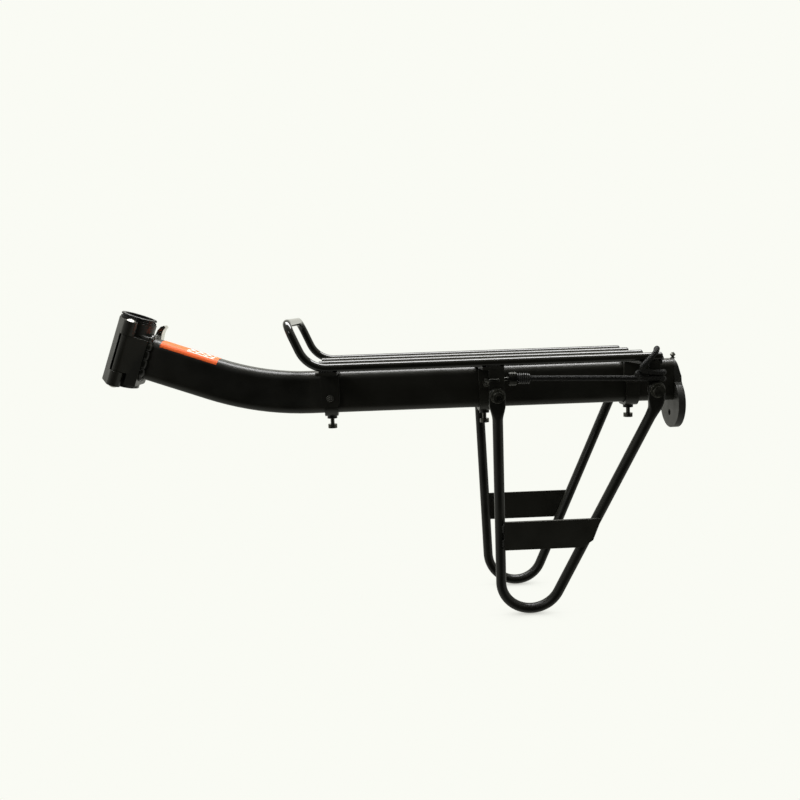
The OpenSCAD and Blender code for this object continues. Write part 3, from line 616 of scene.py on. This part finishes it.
def cord_points():
    """Centre line of the cord, from the right hook round the rear ears to the left hook."""
    run = [(378, -61.5, 12), (392, -61.5, 11.7), (410, -61.5, 11.1), (430, -61.5, 10.4),
           (450, -61.5, 9.7), (470, -61.5, 9), (486, -61.5, 8.3), (500, -61.4, 7.8)]
    over = [(503, -71.3, 14.2), (497, -71.4, 15), (493, -71.6, 16.4), (492, -71.8, 18.8),
            (494, -72, 21.8), (497.5, -72, 25.2), (501, -71.9, 28.8), (504.5, -71, 32.4),
            (507, -68.4, 35.2), (508.2, -65, 35.9), (509, -61, 34.6), (510.2, -58.6, 31.6),
            (513, -57.6, 28.6), (515.4, -56, 26.4), (516.5, -52, 25), (516.6, -44, 24.6),
            (516.6, -22, 24.6), (516.6, -8, 24.6)]
    # Three half turns round the ear: straight across its faces, bent at its two edges
    turn_x, reach, radius = 501.9, 12.25, 4.35
    turns = []
    for i in range(3):
        side = 1 if i % 2 == 0 else -1
        for k in range(5):
            angle = math.radians(90 - 45 * k)
            z = 7.5 + 6 * ease((180 * i + 45 * k - 120) / 220)
            middle = 1.5 - EYE_Y - (z - EYE_Z) * math.tan(FRAME_LEAN)
            turns.append((turn_x + side * (reach - radius + radius * math.cos(angle)),
                          middle + side * radius * math.sin(angle), z))
    under = [(500, -61.9, 13.7), (507, -61.7, 14.6), (512.5, -60.6, 17), (515.6, -58, 20.4),
             (516.6, -54, 23), (516.6, -48, 24.4), (516.6, -22, 24.6), (516.6, -8, 24.6)]
    right = run + turns + over
    left = [(x, -y, z) for x, y, z in reversed(run + turns[:10] + under)]
    return [at_level(*p) for p in right + left]


def elastic_cord():
    """Round cord with the slight relief of its woven cover."""
    path = smooth_curve(cord_points(), 0.8 * MM)
    add_piece("elastic_cord", sweep(path, lambda i: circle(CORD_R * MM, 20), (0, 0, 1)),
              "bungee_cord")


def coil_sleeves():
    """Close-wound wire coils that grip the cord behind each hook and narrow at their ends."""
    parts = []
    turns, wire_r, coil_r, taper = 6.5, 0.9, 4.2, 0.7
    start, length, narrows_at = 376.9, 12.2, 0.82
    count = int(turns * 28)
    for side in (-1, 1):
        path = []
        for k in range(count + 1):
            turn = 2 * math.pi * turns * k / count
            x = start + length * k / count
            middle = CORD_Z - CORD_FALL * (x - CORD_START)
            radius = coil_r - taper * ease((k / count - narrows_at) / (1 - narrows_at))
            path.append(at_level(x, side * (CORD_Y + radius * math.cos(turn)),
                                 middle + radius * math.sin(turn)))
        parts.append(sweep(path, lambda i: circle(wire_r * MM, 10), (1, 0, 0)))
    add_piece("cord_coils", merge(parts), "bungee_sleeves")


# ---------- weld beads ----------

WELD_CREASE = 80
# Distance of the beam's welded end from the seatpost's axis
CLAMP_JOINT = 19.6


def bead(start, stop, radius, ripples, lift, chance, depth=0.2, flat=1.0):
    """Run of overlapping ripples from start to stop, bulging along lift.

    depth is how far each ripple dips, as a share of the radius, and flat squashes the bulge.
    """
    length = (stop - start).length
    along = (stop - start) / length
    steps = ripples * 12
    path, sizes = [], []
    for k in range(steps + 1):
        t = k / steps
        phase = (t * ripples) % 1 if k < steps else 1
        swell = 1 - depth + depth * math.sqrt(max(0, 1 - (2 * phase - 1) ** 2))
        end = math.sqrt(max(0.02, 1 - max(0, 1 - min(t, 1 - t) * ripples * 1.4) ** 2))
        sway = 0.05 * radius * math.sin(5.1 * t * ripples + chance.random())
        path.append(start + along * length * t + Vector(lift).cross(along) * sway)
        sizes.append(radius * swell * end * (0.98 + 0.04 * chance.random()))
    return sweep(path, lambda i: [(a * flat, b) for a, b in circle(sizes[i], 20)], lift)


def clamp_weld_beads():
    """Heavy beads round the joint of the sloped beam and the clamp, four lobes on each side."""
    chance = random.Random(4)
    parts = []
    for side in (-1, 1):
        parts.append(bead(in_clamp(19.8, side * 14.3, -19), in_clamp(19.8, side * 14.3, 18),
                          4.4 * MM, 4, (0, side, 0), chance, depth=0.42, flat=0.8))
        for up in (-1, 1):
            corner = smooth_curve([in_clamp(CLAMP_JOINT, side * 14, up * 15),
                                   in_clamp(CLAMP_JOINT, side * 13, up * 18.5),
                                   in_clamp(CLAMP_JOINT, side * 9.5, up * 20.8),
                                   in_clamp(CLAMP_JOINT, side * 5, up * 21.3)], 0.6 * MM)
            radii = [(2.7 + 0.35 * math.sin(k * 0.9)) * MM for k in range(len(corner))]
            parts.append(sweep(corner, lambda i, r=radii: circle(r[i], 14), (0, side, 0)))
    for up in (-1, 1):
        parts.append(bead(in_clamp(CLAMP_JOINT, -8, up * 21.3),
                          in_clamp(CLAMP_JOINT, 8, up * 21.3), 2.7 * MM, 5,
                          in_clamp(0, 0, up).normalized(), chance))
    piece = add_piece("clamp_weld_beads", merge(parts), "clamp_welds", WELD_CREASE)
    piece.data.materials[0] = GLOSS


def platform_weld_beads():
    """Small fillet beads on both sides of each rod where it lies on a cross strip."""
    chance = random.Random(9)
    parts = []
    half, height = 7, CROSS_TOP + 0.5
    for x in SADDLES:
        for y in (-OUTER_Y, -INNER_Y, INNER_Y, OUTER_Y):
            for side in (-1, 1):
                at_strip_end = abs(y) == OUTER_Y and side * y > 0
                bead_y = y + side * (2.0 if at_strip_end else 2.9)
                parts.append(bead(at_level(x - half, bead_y, height),
                                  at_level(x + half, bead_y, height),
                                  1.5 * MM, 6, (0, side * 0.7, 0.7), chance))
    add_piece("platform_weld_beads", merge(parts), "platform_welds", WELD_CREASE)


def plate_weld_beads():
    """Two short beads between each cross plate and the front leg of its side frame."""
    chance = random.Random(2)
    parts = []
    bead_y = -7.1
    for side in (-1, 1):
        outward = in_side_plane(0, -1, 0, side) - in_side_plane(0, 0, 0, side)
        for s in (128, 143):
            x = EYES[0] + s * math.tan(FRONT_LEAN) + 3
            parts.append(bead(in_side_plane(x, bead_y, -s + 1, side),
                              in_side_plane(x + 0.1, bead_y, -s - 8, side),
                              2.2 * MM, 3, outward, chance, depth=0.35))
    add_piece("plate_weld_beads", merge(parts), "side_plate_welds", WELD_CREASE)


# ---------- the object ----------

GLOSS = paint("black_paint_on_rods", (0.05, 0.08), 0.002, soften=0, coat=0.25)
DARK_WIRE = steel("dark_wire", (0.05, 0.05, 0.045), 0.35)
WORN_STEEL = steel("worn_steel", (0.42, 0.42, 0.37), 0.28)
OWN_LOOK = {"outer_hoop_tube": GLOSS, "inner_rods": GLOSS, "bungee_hooks": DARK_WIRE,
            "eye_washers": WORN_STEEL}


def dress_frame():
    """Gives each CAD node the material of its slot, or its own where its finish differs."""
    for name, thing in NODES.items():
        material = OWN_LOOK.get(name, MATERIALS[SLOT_OF[name]])
        for slot in thing.material_slots:
            slot.material = material
        if not thing.material_slots:
            thing.data.materials.append(material)


make_camera()
make_world()
make_floor()
make_lights()
dress_frame()
side_frame(-1)
side_frame(1)
elastic_cord()
coil_sleeves()
clamp_weld_beads()
platform_weld_beads()
plate_weld_beads()
bpy.context.scene.view_settings.view_transform = "Standard"
